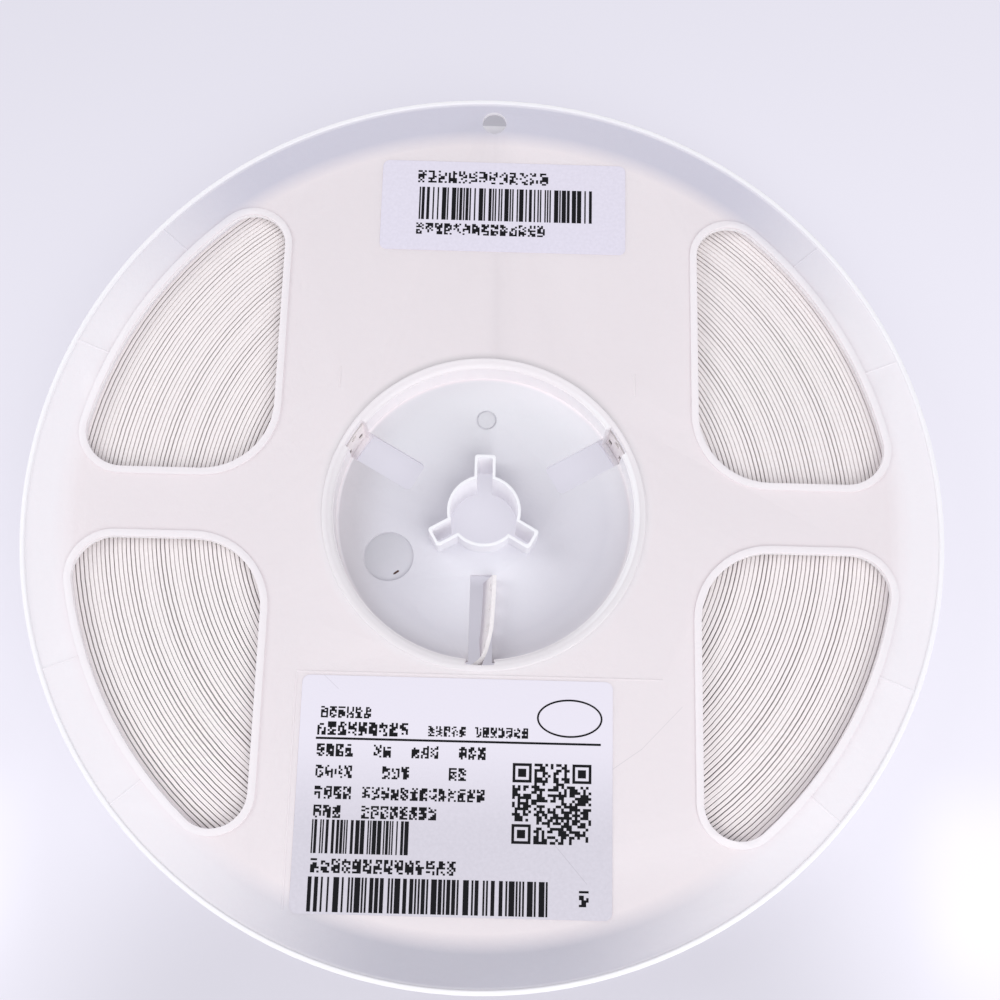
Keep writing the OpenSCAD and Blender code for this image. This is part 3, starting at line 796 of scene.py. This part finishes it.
class REEL_OT_tape(bpy.types.Operator):
    """Winds the paper tape on the drum"""

    bl_idname = "reel.tape"
    bl_label = "Wound tape"

    def execute(self, context):
        settings = context.scene.tape_reel
        colour = tuple(settings.tape_colour)
        sheet_paper = paper("tape_sheet", colour)
        # The tail has painted shade below 6.4 mm, down in the slot of the hub's floor
        tail_paper = paper("tape_tail_paper", colour, painted_shade_below=0.0064, glow=0.5)
        wound = wound_paper(colour, TAPE_LOW[2], TAPE_HIGH[2], ROLL_INNER * MM + settings.tape_pitch * settings.turns)
        points, faces = spiral_roll(ROLL_INNER, settings.tape_pitch / MM, settings.turns,
                                    TAPE_LOW[2] / MM, TAPE_HIGH[2] / MM)
        roll = mesh_piece("tape_roll", points, outward(points, faces), wound, crisp=SHARP)
        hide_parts("carrier_tape")

        flat, sheet = strip_sheet(TAIL_LENGTH, TAPE_WIDTH, tape_holes(3.2, TAIL_LENGTH - 1, pockets=False), 0.4)
        points, faces = thick_strip(flat, sheet, tail_place, TAIL_THICKNESS)
        tail = mesh_piece("tape_tail", points, outward(points, faces), tail_paper, smooth=False)
        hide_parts("carrier_tape")

        for name, angle in (("tape_face_right", 30.0), ("tape_face_left", 150.0)):
            holes = tape_holes(1.1, FACE_LENGTH - 0.5)
            flat, sheet = strip_sheet(FACE_LENGTH, TAPE_WIDTH - 2 * FACE_MARGIN, holes, 0.5)

            def place(s, h, side, middle=math.radians(angle)):
                turn = middle + (s - FACE_LENGTH / 2) / FACE_BEND_R
                radius = FACE_R - side
                low = TAPE_LOW[2] / MM + FACE_MARGIN
                return np.stack([radius * np.cos(turn), radius * np.sin(turn), low + h], -1)

            points, faces = thick_strip(flat, sheet, place, FACE_THICKNESS)
            face = mesh_piece(name, points, outward(points, faces), sheet_paper, smooth=False)
            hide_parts("carrier_tape")
        return {"FINISHED"}


class REEL_OT_labels(bpy.types.Operator):
    """Gives the labels and the tab their paper"""

    bl_idname = "reel.labels"
    bl_label = "Labels"

    def execute(self, context):
        settings = context.scene.tape_reel
        # The lower label: lines of painted shade along its creases, and painted light towards its far side
        label = paper("label_paper", tuple(settings.label_colour), 0.5, CREASE_SHADES, painted_light_slope=(-0.063, -0.042, 1.2))
        upper = paper("upper_label_paper", tuple(settings.upper_label_colour), 0.5)
        tab = paper("adhesive_tab", (0.72, 0.68, 0.52), 0.6)
        for name, material in (("lower_label", label), ("upper_label", upper), ("end_tab", tab)):
            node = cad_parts[name]
            node.data.materials.clear()
            node.data.materials.append(material)
        return {"FINISHED"}


class REEL_OT_print(bpy.types.Operator):
    """Prints bars, cells, rules and made-up marks on both labels"""

    bl_idname = "reel.print"
    bl_label = "Label print"

    def execute(self, context):
        draw = np.random.default_rng(PRINT_SEED)
        ink = Shader("printing_ink", (0.006, 0.006, 0.008), 0.7)
        ink.bsdf.inputs["Specular IOR Level"].default_value = 0.15
        ink = ink.material
        low = LOWER_LABEL[1][2] / MM - PRINT_SINK
        high = low + PRINT_HEIGHT
        lower = [
            text_line(draw, -29.2, -40.6, -19.0, 2.1),
            text_line(draw, -29.7, -43.8, -11.0, 2.5),
            text_line(draw, -9.2, -43.6, 9.8, 1.9, gaps=((-2.4, -1.2),)),
            [(-29.9, -44.6, 22.8, -44.2)],
            text_line(draw, -29.6, -47.7, 2.0, 2.3, gaps=((-22.8, -20.6), (-15.0, -12.8), (-6.6, -4.7))),
            text_line(draw, -29.6, -51.6, -0.8, 2.3, gaps=((-22.4, -18.2), (-11.6, -6.6))),
            text_line(draw, -29.6, -55.4, 3.2, 2.3, gaps=((-23.2, -21.6),)),
            text_line(draw, -29.6, -58.8, -6.4, 2.3, gaps=((-24.2, -21.4),)),
            bar_code(draw, -29.7, -65.1, -11.4, -59.1, 0.24),
            matrix_code(draw, 6.6, -62.6, 14.5, 29),
            text_line(draw, -29.6, -68.5, -2.6, 2.5),
            bar_code(draw, -29.9, -75.3, 14.0, -69.2, 0.33),
            text_line(draw, 19.0, -73.4, 22.0, 2.8)]
        points, faces = boxes(np.concatenate(lower), low, high)
        mesh_piece("lower_print", points, faces, ink, smooth=False)

        points, faces = oval_line(*OVAL, low, high)
        mesh_piece("lower_oval", points, outward(points, faces), ink, smooth=False)

        low = UPPER_LABEL[1][2] / MM - PRINT_SINK
        upper = [
            text_line(draw, -15.4, 69.6, 12.6, 2.75, filled=0.5),
            bar_code(draw, -15.0, 61.3, 20.4, 68.6, 0.28),
            text_line(draw, -15.4, 58.0, 11.8, 2.5)]
        points, faces = boxes(np.concatenate(upper), low, low + PRINT_HEIGHT)
        mesh_piece("upper_print", points, faces, ink, smooth=False)
        return {"FINISHED"}


class REEL_OT_stage(bpy.types.Operator):
    """Sets the pale floor, the soft lights and the camera"""

    bl_idname = "reel.stage"
    bl_label = "Stage"

    def execute(self, context):
        shader = Shader("floor_sheet", context.scene.tape_reel.floor_colour, 0.6)
        # The floor glows like a light table; its glow carries painted light and painted shadows
        shader.bsdf.inputs["Emission Color"].default_value = (0.86, 0.84, 0.94, 1)
        shader.link(floor_glow_and_painted_shade(shader), shader.bsdf.inputs["Emission Strength"])
        mesh = bpy.data.meshes.new("floor")
        corners = [(x * FLOOR_HALF, y * FLOOR_HALF, 0) for x, y in ((-1, -1), (1, -1), (1, 1), (-1, 1))]
        mesh.from_pydata(corners, [], [(0, 1, 2, 3)])
        mesh.materials.append(shader.material)
        floor = bpy.data.objects.new("floor", mesh)
        context.scene.collection.objects.link(floor)

        context.scene.view_settings.view_transform = "Standard"
        world = bpy.data.worlds.new("studio")
        world.use_nodes = True
        sky = world.node_tree.nodes["Background"]
        sky.inputs["Color"].default_value = (0.93, 0.94, 1.0, 1)
        sky.inputs["Strength"].default_value = 0.60
        context.scene.world = world

        for name, place, size, power in LAMPS:
            data = bpy.data.lights.new(name, "AREA")
            data.shape = "DISK"
            data.size = size
            data.energy = power
            lamp = bpy.data.objects.new(name, data)
            context.scene.collection.objects.link(lamp)
            lamp.location = place
            lamp.rotation_euler = (-lamp.location).to_track_quat("-Z", "Y").to_euler()

        data = bpy.data.cameras.new("camera")
        data.lens = CAMERA_LENS
        data.sensor_width = CAMERA_SENSOR
        data.clip_start = 0.01
        camera = bpy.data.objects.new("camera", data)
        camera.location = CAMERA_PLACE
        camera.rotation_euler = [math.radians(part) for part in CAMERA_TURN]
        context.scene.collection.objects.link(camera)
        context.scene.camera = camera
        return {"FINISHED"}


OPERATORS = (REEL_OT_stage, REEL_OT_mouldings, REEL_OT_tape, REEL_OT_labels, REEL_OT_print)


class REEL_PT_panel(bpy.types.Panel):
    """Lists the reel's sizes, colours and pieces"""

    bl_idname = "REEL_PT_panel"
    bl_label = "Tape Reel"
    bl_space_type = "VIEW_3D"
    bl_region_type = "UI"
    bl_category = "Tape Reel"

    def draw(self, context):
        for name in TapeReelSettings.__annotations__:
            self.layout.prop(context.scene.tape_reel, name)
        for operator in OPERATORS:
            self.layout.operator(operator.bl_idname)


CLASSES = (TapeReelSettings, *OPERATORS, REEL_PT_panel)


def register():
    for kind in CLASSES:
        bpy.utils.register_class(kind)
    bpy.types.Scene.tape_reel = PointerProperty(type=TapeReelSettings)


def unregister():
    del bpy.types.Scene.tape_reel
    for kind in reversed(CLASSES):
        bpy.utils.unregister_class(kind)


def main():
    register()
    for operator in OPERATORS:
        group, name = operator.bl_idname.split(".")
        getattr(getattr(bpy.ops, group), name)()


if __name__ == "__main__":
    main()
